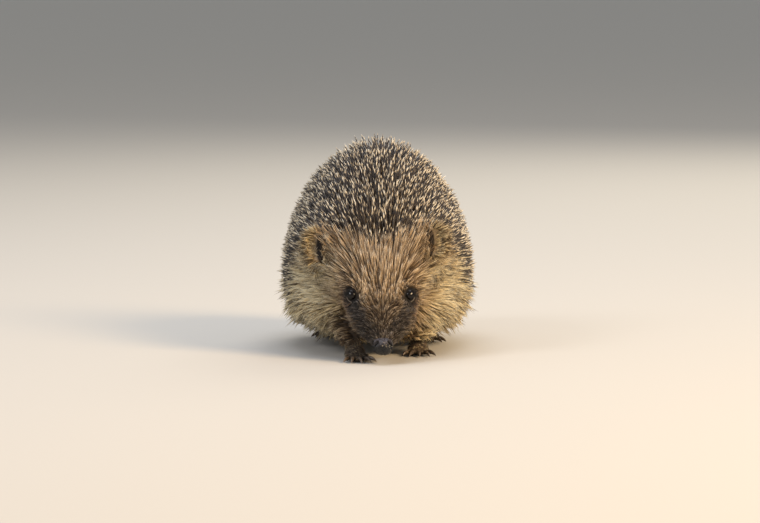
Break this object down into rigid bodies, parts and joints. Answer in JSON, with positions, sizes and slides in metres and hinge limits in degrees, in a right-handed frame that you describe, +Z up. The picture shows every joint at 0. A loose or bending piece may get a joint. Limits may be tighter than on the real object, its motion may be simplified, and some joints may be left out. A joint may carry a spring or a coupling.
{
  "type": "hedgehog",
  "caption": "Life-size standing hedgehog with its nose lowered to the ground, a spiny back, a furry face and skirt, small ears, bright eyes and clawed feet.",
  "frame": {"origin": "on the floor, below the middle of the box round the whole model", "axes": "+Z up, the nose points along -Y and the animal's left side is +X"},
  "size_m": [0.116, 0.211, 0.124],
  "materials": {
    "spines": "satin, dark slate-brown quills with cream tips",
    "fur": "coarse tan and cream hair",
    "skin": "short-haired grey-brown skin",
    "nose_leather": "wet, dark purplish grey",
    "eye": "wet gloss, near black",
    "claw_horn": "smooth brown-grey horn"
  },
  "bodies": {
    "root": {"head": "fur", "neck": "fur", "trunk": "spines", "tail": "fur", "nose": "nose_leather", "ear_left": "skin", "ear_right": "skin", "eye_left": "eye", "eye_right": "eye", "leg_fore_right": "fur", "foot_fore_right": "skin", "claw_fore_right_1": "claw_horn", "claw_fore_right_2": "claw_horn", "claw_fore_right_3": "claw_horn", "claw_fore_right_4": "claw_horn", "claw_fore_right_5": "claw_horn", "leg_fore_left": "fur", "foot_fore_left": "skin", "claw_fore_left_1": "claw_horn", "claw_fore_left_2": "claw_horn", "claw_fore_left_3": "claw_horn", "claw_fore_left_4": "claw_horn", "claw_fore_left_5": "claw_horn", "leg_hind_right": "fur", "foot_hind_right": "skin", "claw_hind_right_1": "claw_horn", "claw_hind_right_2": "claw_horn", "claw_hind_right_3": "claw_horn", "claw_hind_right_4": "claw_horn", "claw_hind_right_5": "claw_horn", "leg_hind_left": "fur", "foot_hind_left": "skin", "claw_hind_left_1": "claw_horn", "claw_hind_left_2": "claw_horn", "claw_hind_left_3": "claw_horn", "claw_hind_left_4": "claw_horn", "claw_hind_left_5": "claw_horn"}
  },
  "joints": []
}
